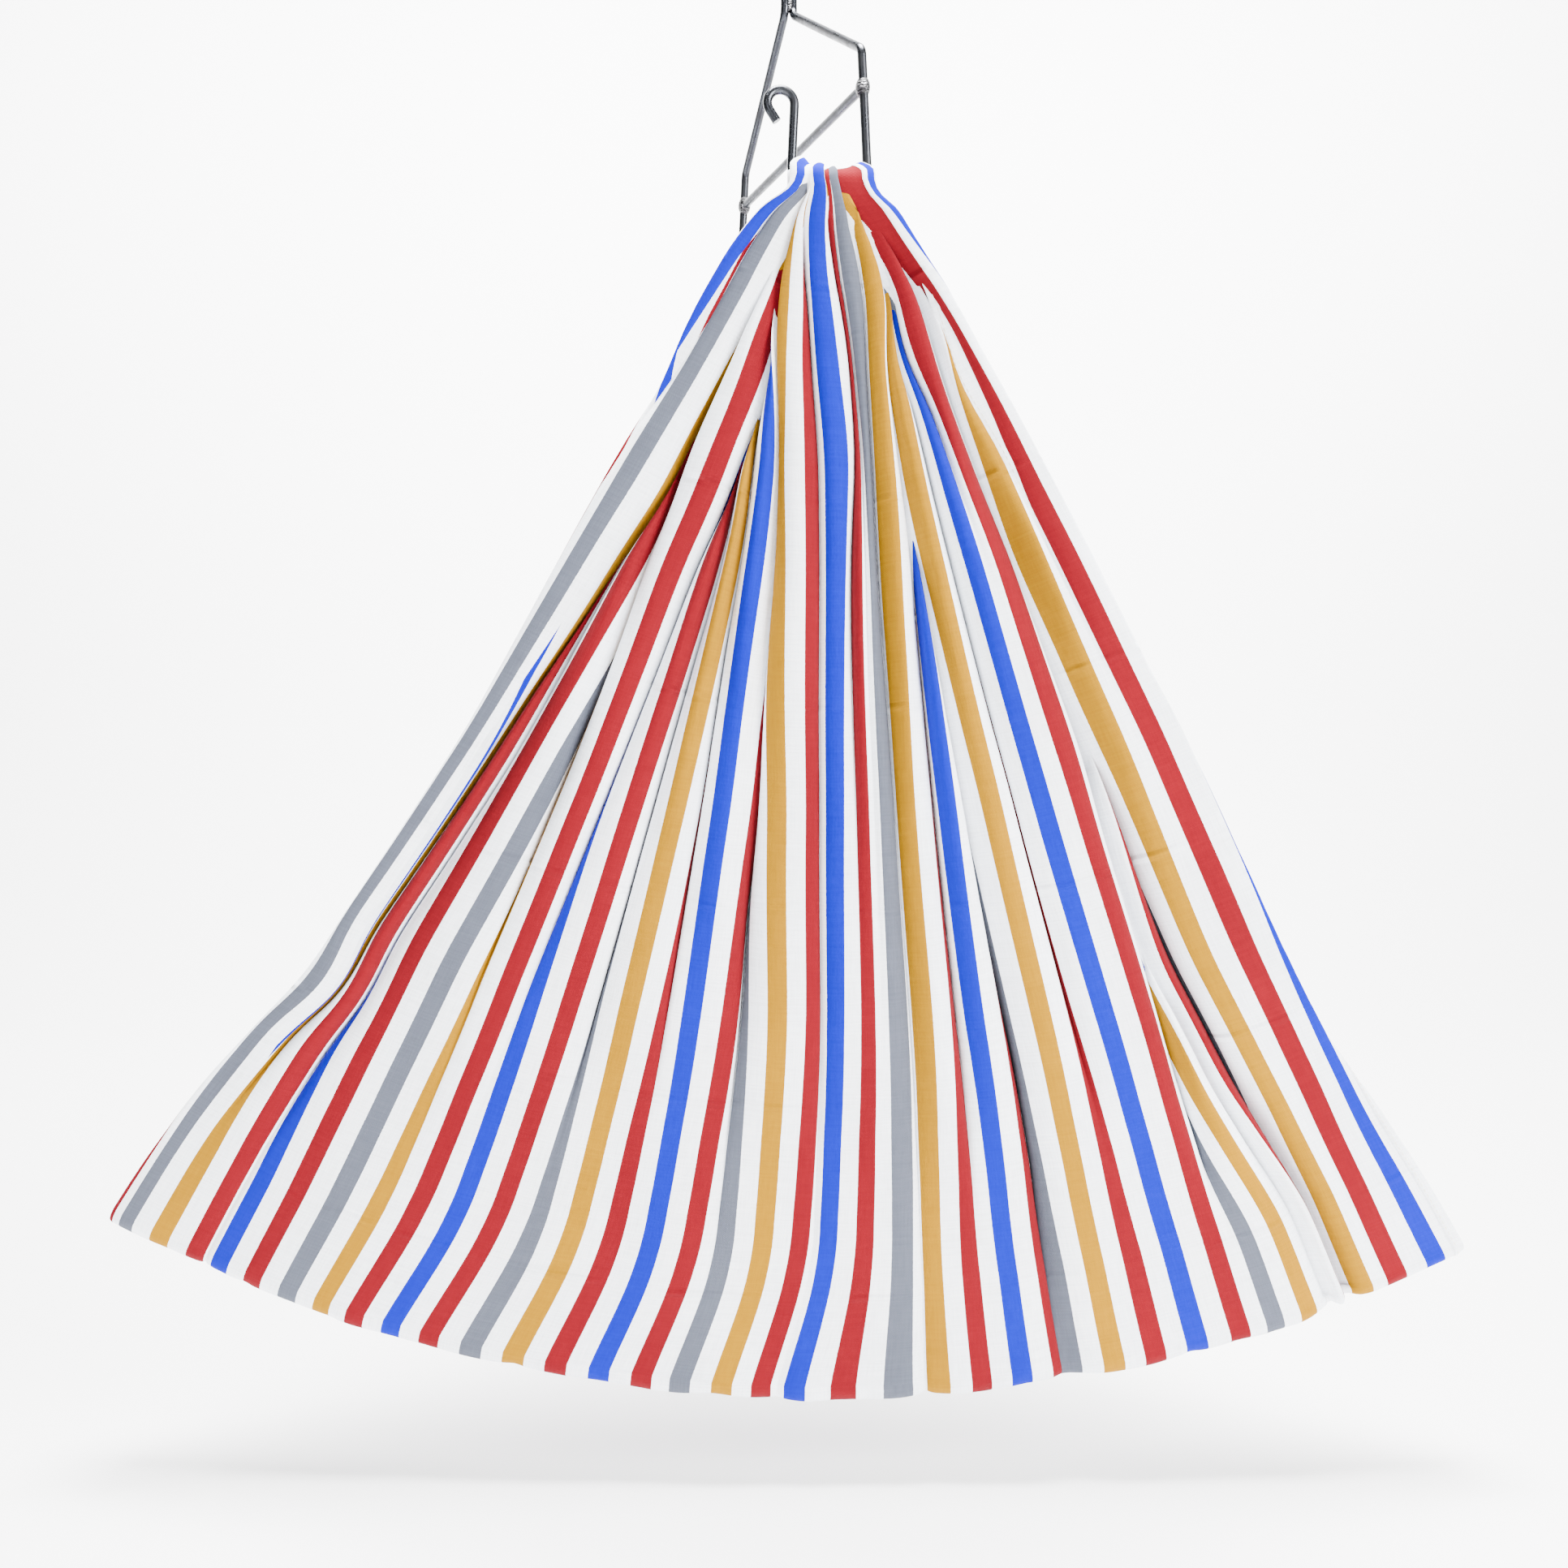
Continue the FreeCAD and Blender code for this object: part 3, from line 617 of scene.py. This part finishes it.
front_rim = np.arctan2(front_rows[-1][:, 0] - FAN_CENTRE[0], FAN_CENTRE[1] - front_rows[-1][:, 2])
rear_rim = np.arctan2(rear_rows[-1][:, 0] - FAN_CENTRE[0], FAN_CENTRE[1] - rear_rows[-1][:, 2])
for row, share in zip(rear_rows, shares):
    out = np.hypot(row[:, 0] - FAN_CENTRE[0], row[:, 2] - FAN_CENTRE[1])
    angles = np.arctan2(row[:, 0] - FAN_CENTRE[0], FAN_CENTRE[1] - row[:, 2])
    angles = angles + (front_rim - rear_rim) * smoothstep(0.62, 1.0, share)
    row[:, 0] = FAN_CENTRE[0] + out * np.sin(angles)
    row[:, 2] = FAN_CENTRE[1] - out * np.cos(angles)
fold_rows = []
for share in np.linspace(0, 1, FOLD_ROWS + 1)[1:-1]:
    turn = math.pi * share
    radius = fold_radius - (rear_depth[-1] * (1 - share) + front_depth[-1] * share)
    out = rim_radius + radius * math.sin(turn)
    fold_rows.append(np.stack([FAN_CENTRE[0] + out * np.sin(front_rim), radius * math.cos(turn),
                               FAN_CENTRE[1] - out * np.cos(front_rim)], 1))

loop_points = np.concatenate([front_rows[::-1], np.array(over_rows), rear_rows, np.array(fold_rows)])
column_count = loop_points.shape[1]
steps = np.linalg.norm(np.diff(np.concatenate([loop_points, loop_points[:1]]), axis=0), axis=2)
row_lengths = np.concatenate([[0], np.cumsum(np.median(steps, axis=1))])


def grid_mesh(name, points, places, lengths, closed):
    """A mesh over rows and columns of points, with the cloth's own metres kept as its UV map."""
    rows, across = points.shape[:2]
    mesh = bpy.data.meshes.new(name)
    corners = np.arange(rows * across).reshape(rows, across)
    if closed:
        corners = np.concatenate([corners, corners[:1]])
    faces = np.stack([corners[:-1, :-1], corners[:-1, 1:], corners[1:, 1:], corners[1:, :-1]], -1)
    mesh.from_pydata(points.reshape(-1, 3).tolist(), [], faces.reshape(-1, 4).tolist())
    rows_here = len(corners)
    u = np.broadcast_to(places[None, :], (rows_here, across)) / UV_METRES
    v = np.broadcast_to(np.asarray(lengths)[:rows_here, None], (rows_here, across)) / UV_METRES
    loops_u = np.stack([u[:-1, :-1], u[:-1, 1:], u[1:, 1:], u[1:, :-1]], -1).reshape(-1)
    loops_v = np.stack([v[:-1, :-1], v[:-1, 1:], v[1:, 1:], v[1:, :-1]], -1).reshape(-1)
    layer = mesh.uv_layers.new(name="cloth")
    layer.data.foreach_set("uv", np.stack([loops_u, loops_v], 1).astype(np.float32).reshape(-1))
    mesh.polygons.foreach_set("use_smooth", [True] * len(mesh.polygons))
    mesh.update()
    obj = bpy.data.objects.new(name, mesh)
    bpy.context.scene.collection.objects.link(obj)
    return obj


cloth = grid_mesh("cloth_loop", loop_points, columns, row_lengths, True)

# Cotton: plain weave with slubs, its bands woven of dyed yarn. The dyes are set darker than
# such yarn, so that the bands come out right under these strong lamps.
BAND = 0.020
FIRST_BAND = 0.020
RAGGED = 0.0007                             # how far a band's edge wanders from thread to thread
THREAD = 0.0009
WHITE = linear(243, 246, 251)
RED = linear(106, 12, 22)
BLUE = linear(1, 10, 150)
GRAY = linear(80, 84, 95)
YELLOW = linear(146, 102, 0)
BAND_ORDER = (RED, WHITE, BLUE, WHITE, RED, WHITE, GRAY, WHITE, YELLOW, WHITE)

woven_cotton, group_in, group_out = new_group(
    "woven_cotton",
    [("Place", "NodeSocketVector", None), ("Slub", "NodeSocketFloat", 0.5)],
    [("Shade", "NodeSocketFloat"), ("Height", "NodeSocketFloat")])
parts = woven_cotton.nodes.new("ShaderNodeSeparateXYZ")
woven_cotton.links.new(group_in.outputs["Place"], parts.inputs[0])
warp, weft = [
    math_node(woven_cotton, "SINE", math_node(woven_cotton, "MULTIPLY", way, math.pi / THREAD))
    for way in (parts.outputs[0], parts.outputs[1])]
crossing = math_node(woven_cotton, "MULTIPLY", warp, weft)
long_way = woven_cotton.nodes.new("ShaderNodeMapping")
long_way.inputs["Scale"].default_value = (1.0, 0.06, 1.0)
woven_cotton.links.new(group_in.outputs["Place"], long_way.inputs["Vector"])
slub_along = noise_node(woven_cotton, long_way.outputs[0], 620.0, 2.0)
cross_way = woven_cotton.nodes.new("ShaderNodeMapping")
cross_way.inputs["Scale"].default_value = (0.05, 1.0, 1.0)
woven_cotton.links.new(group_in.outputs["Place"], cross_way.inputs["Vector"])
slub_cross = noise_node(woven_cotton, cross_way.outputs[0], 560.0, 2.0)
slubs = math_node(woven_cotton, "ADD", slub_along, slub_cross)
slub_shade = math_node(woven_cotton, "MULTIPLY", math_node(woven_cotton, "SUBTRACT", slubs, 1.0),
                       group_in.outputs["Slub"])
thread_shade = math_node(woven_cotton, "MULTIPLY", crossing, 0.025)
thread_height = math_node(woven_cotton, "MULTIPLY", crossing, 0.5)
uneven = math_node(woven_cotton, "ADD", slub_shade, thread_shade)
woven_cotton.links.new(math_node(woven_cotton, "ADD", uneven, 1.0), group_out.inputs["Shade"])
woven_cotton.links.new(math_node(woven_cotton, "ADD", thread_height, slub_shade),
                       group_out.inputs["Height"])

dyed_bands, group_in, group_out = new_group(
    "dyed_bands", [("Place", "NodeSocketVector", None)],
    [("Color", "NodeSocketColor"), ("Dyed", "NodeSocketFloat")])
parts = dyed_bands.nodes.new("ShaderNodeSeparateXYZ")
dyed_bands.links.new(group_in.outputs["Place"], parts.inputs[0])
ragged = noise_node(dyed_bands, group_in.outputs["Place"], 900.0, 1.0)
shifted = math_node(dyed_bands, "MULTIPLY_ADD", ragged, RAGGED, parts.outputs[0])
past_first = math_node(dyed_bands, "SUBTRACT", shifted, FIRST_BAND + RAGGED / 2)
along_repeat = math_node(dyed_bands, "DIVIDE", past_first, BAND * len(BAND_ORDER))
repeat = math_node(dyed_bands, "FRACT", along_repeat)
ramp = dyed_bands.nodes.new("ShaderNodeValToRGB")
ramp.color_ramp.interpolation = "CONSTANT"
while len(ramp.color_ramp.elements) < len(BAND_ORDER):
    ramp.color_ramp.elements.new(0.5)
for number in range(len(BAND_ORDER)):
    ramp.color_ramp.elements[number].position = number / len(BAND_ORDER)
for number, colour in enumerate(BAND_ORDER):
    ramp.color_ramp.elements[number].color = colour
dyed_bands.links.new(repeat, ramp.inputs["Fac"])
past_left = math_node(dyed_bands, "GREATER_THAN", parts.outputs[0], FIRST_BAND)
before_right = math_node(dyed_bands, "LESS_THAN", parts.outputs[0], CLOTH_WIDTH - FIRST_BAND)
inside = math_node(dyed_bands, "MULTIPLY", past_left, before_right)
band_colour = mix_colour(dyed_bands, inside, WHITE, ramp.outputs["Color"])
dyed_bands.links.new(band_colour, group_out.inputs["Color"])
dyed_bands.links.new(inside, group_out.inputs["Dyed"])

pressed_folds, group_in, group_out = new_group(
    "pressed_folds", [("Place", "NodeSocketVector", None), ("Spacing", "NodeSocketFloat", 0.19)],
    [("Height", "NodeSocketFloat")])
parts = pressed_folds.nodes.new("ShaderNodeSeparateXYZ")
pressed_folds.links.new(group_in.outputs["Place"], parts.inputs[0])
slow = noise_node(pressed_folds, group_in.outputs["Place"], 5.0, 1.0)
bent = math_node(pressed_folds, "MULTIPLY_ADD", slow, 0.010, parts.outputs[1])
ratio = math_node(pressed_folds, "DIVIDE", bent, group_in.outputs["Spacing"])
from_middle = math_node(pressed_folds, "SUBTRACT", math_node(pressed_folds, "FRACT", ratio), 0.5)
beside = math_node(pressed_folds, "ABSOLUTE", from_middle)
line = ramp_node(pressed_folds, beside, 0.0, 0.028, 1.0, 0.0)
patches = noise_node(pressed_folds, group_in.outputs["Place"], 9.0, 1.0)
faint_line = math_node(pressed_folds, "MULTIPLY", line, ramp_node(pressed_folds, patches, 0.45, 0.62))
rumple = noise_node(pressed_folds, group_in.outputs["Place"], 26.0, 3.0, 0.45)
soft_rumple = math_node(pressed_folds, "MULTIPLY", rumple, 0.9)
pressed_folds.links.new(math_node(pressed_folds, "ADD", faint_line, soft_rumple),
                        group_out.inputs["Height"])


def cloth_place(tree):
    """The cloth's own coordinates in metres: across the width, and round the loop."""
    own = tree.nodes.new("ShaderNodeUVMap")
    own.uv_map = "cloth"
    scale = tree.nodes.new("ShaderNodeVectorMath")
    scale.operation = "SCALE"
    scale.inputs["Scale"].default_value = UV_METRES
    tree.links.new(own.outputs["UV"], scale.inputs[0])
    return scale.outputs[0]


def cotton_material(name, crease_depth):
    material, tree, shader = new_material(name, 0.86, 0.0)
    place = cloth_place(tree)
    weave = use_group(tree, woven_cotton, Place=place, Slub=0.32)
    folds = use_group(tree, pressed_folds, Place=place, Spacing=0.187)
    colour = use_group(tree, dyed_bands, Place=place).outputs["Color"]
    patchy = ramp_node(tree, noise_node(tree, place, 7.0, 2.0), 0.3, 0.7, 0.965, 1.02)
    shade = math_node(tree, "MULTIPLY", weave.outputs["Shade"], patchy)
    tinted = mix_colour(tree, 1.0, colour, shade, "MULTIPLY")
    tree.links.new(tinted, shader.inputs["Base Color"])
    creased = bump_from(tree, folds.outputs["Height"], crease_depth, 0.9)
    fine = tree.nodes.new("ShaderNodeBump")
    fine.inputs["Distance"].default_value = 0.00025
    fine.inputs["Strength"].default_value = 0.5
    tree.links.new(weave.outputs["Height"], fine.inputs["Height"])
    tree.links.new(creased, fine.inputs["Normal"])
    tree.links.new(fine.outputs["Normal"], shader.inputs["Normal"])
    shader.inputs["Sheen Weight"].default_value = 0.02
    shader.inputs["Sheen Roughness"].default_value = 0.45
    shader.inputs["Specular IOR Level"].default_value = 0.05
    return material


banded_cotton = cotton_material("banded_cotton", 0.0022)
cloth.data.materials.append(banded_cotton)


# ---------------------------------------------------------------- side hems
# The cloth's two long edges, turned twice to 10 mm and sewn down with white cotton thread
# by a lockstitch machine, seven millimetres in from the edge.
HEM_WIDTH = 0.0102
HEM_HALF = 0.0007
HEM_STITCH_COLUMN = 2
STITCH_LIFT = 0.0001
STITCH_SIDES = 6
STITCH_SWELLS = ((0.0, 0.35), (0.18, 0.95), (0.5, 1.1), (0.82, 0.95), (1.0, 0.35))
STITCH_STEP = 0.0062
STITCH_LENGTH = 0.0040
STITCH_RADIUS = 0.0004

closed_points = np.concatenate([loop_points, loop_points[:1]])
along_loop = np.roll(loop_points, -1, 0) - np.roll(loop_points, 1, 0)
across_loop = np.gradient(loop_points, axis=1)
normals = np.cross(along_loop, across_loop)
normals /= np.maximum(np.linalg.norm(normals, axis=2, keepdims=True), 1e-9)
closed_normals = np.concatenate([normals, normals[:1]])


def hem_piece(name, from_edge):
    """A closed band a little thicker than the cloth, wrapped round one long edge."""
    count = int(round(HEM_WIDTH / COLUMN_STEP)) + 1
    used = np.arange(count) if from_edge else column_count - 1 - np.arange(count)
    outer = loop_points[:, used] + normals[:, used] * HEM_HALF
    inner = loop_points[:, used] - normals[:, used] * HEM_HALF
    edge = loop_points[:, used[0]] - (loop_points[:, used[1]] - loop_points[:, used[0]]) * 0.25
    ring = np.concatenate([outer[:, ::-1], edge[:, None], inner], axis=1)
    places = np.concatenate([columns[used][::-1], [columns[used[0]]], columns[used]])
    ring = np.concatenate([ring, ring[:, :1]], axis=1)
    places = np.concatenate([places, places[:1]])
    return grid_mesh(name, ring, places, row_lengths, True)


def stitch_row(name, line, lifts, offset):
    """One row of short stitches along a line of the cloth, half sunk in its surface."""
    lengths = np.concatenate([[0], np.cumsum(np.linalg.norm(np.diff(line, axis=0), axis=1))])
    places = np.arange(0, lengths[-1] - STITCH_STEP, STITCH_STEP)

    def read(values, at):
        return np.stack([np.interp(at, lengths, values[:, axis]) for axis in range(3)], 1)

    ups = read(lifts, places)
    ups /= np.maximum(np.linalg.norm(ups, axis=1, keepdims=True), 1e-9)
    starts = read(line, places) + ups * offset
    ends = read(line, places + STITCH_LENGTH) + ups * offset
    verts, faces = [], []
    last_ring = (len(STITCH_SWELLS) - 1) * STITCH_SIDES
    for start, end, up in zip(starts, ends, ups):
        way = end - start
        length = np.linalg.norm(way)
        if length < 1e-5:
            continue
        way = way / length
        side = np.cross(way, up)
        side /= max(np.linalg.norm(side), 1e-9)
        first = len(verts)
        for share, swell in STITCH_SWELLS:
            middle = start + way * length * share
            for number in range(STITCH_SIDES):
                turn = 2 * math.pi * number / STITCH_SIDES
                out = side * math.cos(turn) + up * math.sin(turn)
                verts.append(middle + out * STITCH_RADIUS * swell)
        for ring in range(0, last_ring, STITCH_SIDES):
            for number in range(STITCH_SIDES):
                near = first + ring + number
                far = first + ring + (number + 1) % STITCH_SIDES
                faces.append((near, far, far + STITCH_SIDES, near + STITCH_SIDES))
        faces.append(tuple(first + number for number in reversed(range(STITCH_SIDES))))
        faces.append(tuple(first + last_ring + number for number in range(STITCH_SIDES)))
    mesh = bpy.data.meshes.new(name)
    mesh.from_pydata([tuple(v) for v in verts], [], faces)
    mesh.polygons.foreach_set("use_smooth", [True] * len(mesh.polygons))
    stitches = bpy.data.objects.new(name, mesh)
    bpy.context.scene.collection.objects.link(stitches)
    stitches.data.materials.append(thread)
    return stitches


thread, tree, shader = new_material("cotton_thread", 0.6, 0.0)
twist = tree.nodes.new("ShaderNodeTexWave")
twist.inputs["Scale"].default_value = 900.0
tree.links.new(tree.nodes.new("ShaderNodeTexCoord").outputs["Object"], twist.inputs["Vector"])
thread_colour = mix_colour(tree, twist.outputs["Fac"], linear(226, 220, 204), linear(248, 245, 236))
tree.links.new(thread_colour, shader.inputs["Base Color"])
tree.links.new(bump_from(tree, twist.outputs["Fac"], 0.0002, 0.5), shader.inputs["Normal"])
shader.inputs["Sheen Weight"].default_value = 0.2

sewn_pieces = []
for name, from_edge, column in (("left_hem", True, HEM_STITCH_COLUMN),
                                ("right_hem", False, column_count - 1 - HEM_STITCH_COLUMN)):
    hem = hem_piece(name, from_edge)
    hem.data.materials.append(banded_cotton)
    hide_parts("sling_" + name)
    sewn_pieces.append(hem)
    for face_name, face in (("outer", 1), ("inner", -1)):
        sewn_pieces.append(stitch_row(name + "_stitches_" + face_name, closed_points[:, column],
                                      closed_normals[:, column], face * (HEM_HALF + STITCH_LIFT)))


# ---------------------------------------------------------------- loop seam
# The cloth's two cut ends, joined by a flat felled seam low on the rear panel: the seam
# allowance lies folded on the outside under two rows of stitching.
SEAM_HALF = 0.0009
SEAM_LEVEL = 1.065                          # from the apex down the rear panel
SEAM_INSET = 0.25                           # how far in the stitching lies, of half the seam

seam_middle = int(np.argmin(np.abs(TOP_REACH + shares * panel_reach - SEAM_LEVEL)))
seam_rows = len(front_rows) + len(over_rows) + seam_middle + np.arange(-1, 2)
seam_outer = loop_points[seam_rows] + normals[seam_rows] * SEAM_HALF
seam_inner = loop_points[seam_rows] - normals[seam_rows] * SEAM_HALF
seam_ring = np.concatenate([seam_outer, seam_inner[::-1], seam_outer[:1]])
seam_lengths = row_lengths[np.concatenate([seam_rows, seam_rows[::-1], seam_rows[:1]])]
seam = grid_mesh("loop_seam_fell", seam_ring, columns, seam_lengths, False)
seam.data.materials.append(banded_cotton)
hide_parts("loop_seam")
sewn_pieces.append(seam)
for row_number, row in enumerate((seam_rows[0], seam_rows[-1])):
    line = loop_points[row] + (loop_points[seam_rows[1]] - loop_points[row]) * SEAM_INSET
    sewn_pieces.append(stitch_row("seam_stitches_%d" % (row_number + 1), line, normals[row],
                                  SEAM_HALF + STITCH_LIFT))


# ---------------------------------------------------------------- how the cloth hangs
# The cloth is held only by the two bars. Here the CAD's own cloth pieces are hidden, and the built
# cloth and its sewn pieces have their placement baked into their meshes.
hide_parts("sling_front_gather", "sling_rear_gather", "sling_roof", "sling_front_panel",
            "sling_rear_panel", "sling_bottom_fold")
for piece in [cloth] + sewn_pieces:
    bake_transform(piece)


# ---------------------------------------------------------------- floor and light
# A pale sweep behind and under the sling, and broad soft lamps in front and above.
FLOOR_DROP = 0.085                          # how far the sling hangs above the floor
SWEEP_FRONT = -6.0
SWEEP_BACK = 2.6
SWEEP_RADIUS = 1.2
SWEEP_HEIGHT = 6.0
SWEEP_HALF_WIDTH = 9.0
SWEEP_STEPS = 16
floor_height = cad_box[0][2] - FLOOR_DROP
sweep_lines = [(SWEEP_FRONT, 0.0), (SWEEP_BACK, 0.0)]
for step in range(1, SWEEP_STEPS + 1):
    turn = math.radians(90) * step / SWEEP_STEPS
    sweep_lines.append((SWEEP_BACK + SWEEP_RADIUS * math.sin(turn), SWEEP_RADIUS * (1 - math.cos(turn))))
sweep_lines.append((SWEEP_BACK + SWEEP_RADIUS, SWEEP_HEIGHT))
sweep_mesh = bpy.data.meshes.new("floor")
sweep_points = [(x, y, floor_height + rise)
                for y, rise in sweep_lines for x in (-SWEEP_HALF_WIDTH, SWEEP_HALF_WIDTH)]
sweep_faces = [(2 * i, 2 * i + 1, 2 * i + 3, 2 * i + 2) for i in range(len(sweep_lines) - 1)]
sweep_mesh.from_pydata(sweep_points, [], sweep_faces)
for face in sweep_mesh.polygons:
    face.use_smooth = True
floor = bpy.data.objects.new("floor", sweep_mesh)
bpy.context.scene.collection.objects.link(floor)
paper, tree, shader = new_material("pale_paper", 0.9, 0.0)
shader.inputs["Base Color"].default_value = linear(250, 250, 250)
floor.data.materials.append(paper)

world = bpy.data.worlds.new("studio")
bpy.context.scene.world = world
world.use_nodes = True
world.node_tree.nodes["Background"].inputs["Color"].default_value = (1.0, 1.0, 1.0, 1.0)
world.node_tree.nodes["Background"].inputs["Strength"].default_value = 0.24


def soft_lamp(name, place, aim, size, power):
    data = bpy.data.lights.new(name, "AREA")
    data.shape = "RECTANGLE"
    data.size, data.size_y = size
    data.energy = power
    lamp = bpy.data.objects.new(name, data)
    lamp.location = place
    lamp.rotation_euler = (Vector(aim) - Vector(place)).to_track_quat("-Z", "Y").to_euler()
    bpy.context.scene.collection.objects.link(lamp)
    return lamp


soft_lamp("key_lamp", (1.9, -1.7, 0.1), (0.1, 0, -0.8), (1.1, 1.3), 210)
soft_lamp("fill_lamp", (-1.2, -3.2, 0.2), (0, 0, -0.8), (1.6, 2.0), 30)
soft_lamp("top_lamp", (0.0, -0.3, 1.6), (0, 0, -0.8), (1.2, 1.0), 600)
soft_lamp("backdrop_lamp", (0.0, 0.9, 2.2), (0, 4.4, 1.4), (7.0, 1.2), 1500)
